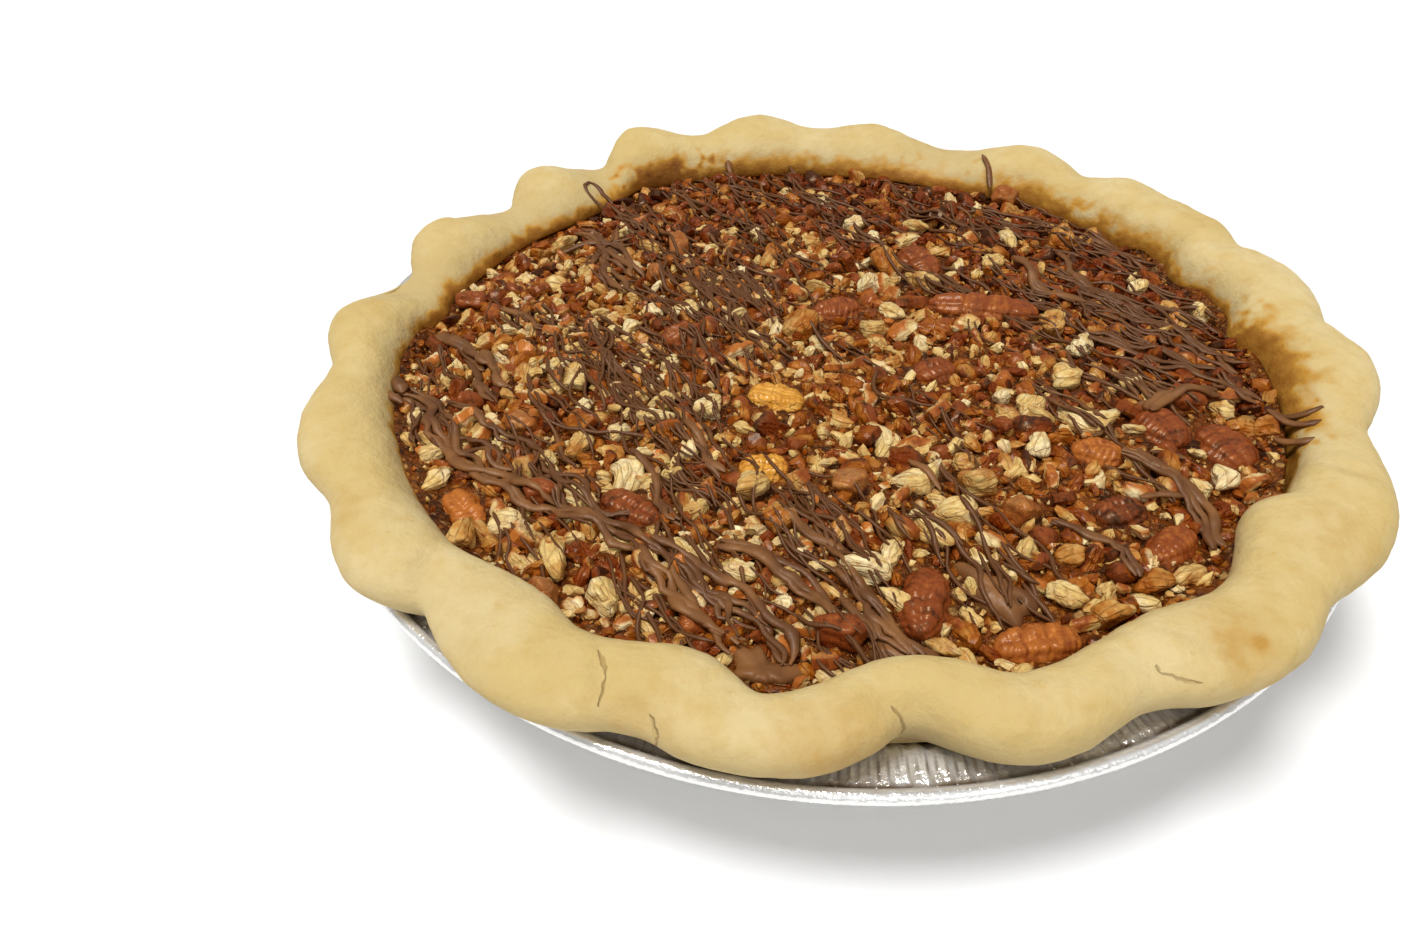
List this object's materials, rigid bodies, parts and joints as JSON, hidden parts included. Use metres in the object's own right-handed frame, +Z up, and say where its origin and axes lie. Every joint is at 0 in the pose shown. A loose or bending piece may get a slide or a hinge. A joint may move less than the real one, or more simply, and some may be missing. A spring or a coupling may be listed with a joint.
{
  "type": "pecan pie",
  "caption": "Round pecan pie with a fluted pastry rim and chocolate strands over chopped nuts, standing in its pleated foil pan.",
  "frame": {"origin": "centre of the foil pan's base, on the surface that the pie stands on", "axes": "+Z up through the middle of the pie; -Y is the front; the rim is round, so +X is just to the right seen from the front"},
  "size_m": [0.251, 0.2467, 0.0445],
  "materials": {
    "foil": "bright pleated foil",
    "pastry": "pale baked pastry, matte",
    "nut_filling": "glossy caramel filling with chopped nuts and chocolate strands",
    "pecan": "reddish brown nut skin with a thin syrup glaze",
    "glazed_nut": "amber, steeped in syrup, glossy"
  },
  "bodies": {
    "root": {"foil_pan": "foil", "crust": "pastry", "filling": "nut_filling", "pecan_01": "pecan", "pecan_02": "pecan", "pecan_03": "pecan", "pecan_04": "pecan", "pecan_05": "pecan", "pecan_06": "pecan", "pecan_07": "pecan", "pecan_08": "pecan", "pecan_09": "pecan", "pecan_10": "pecan", "pecan_11": "pecan", "pecan_12": "pecan", "pecan_13": "pecan", "glazed_nut_1": "glazed_nut", "glazed_nut_2": "glazed_nut"}
  },
  "joints": []
}
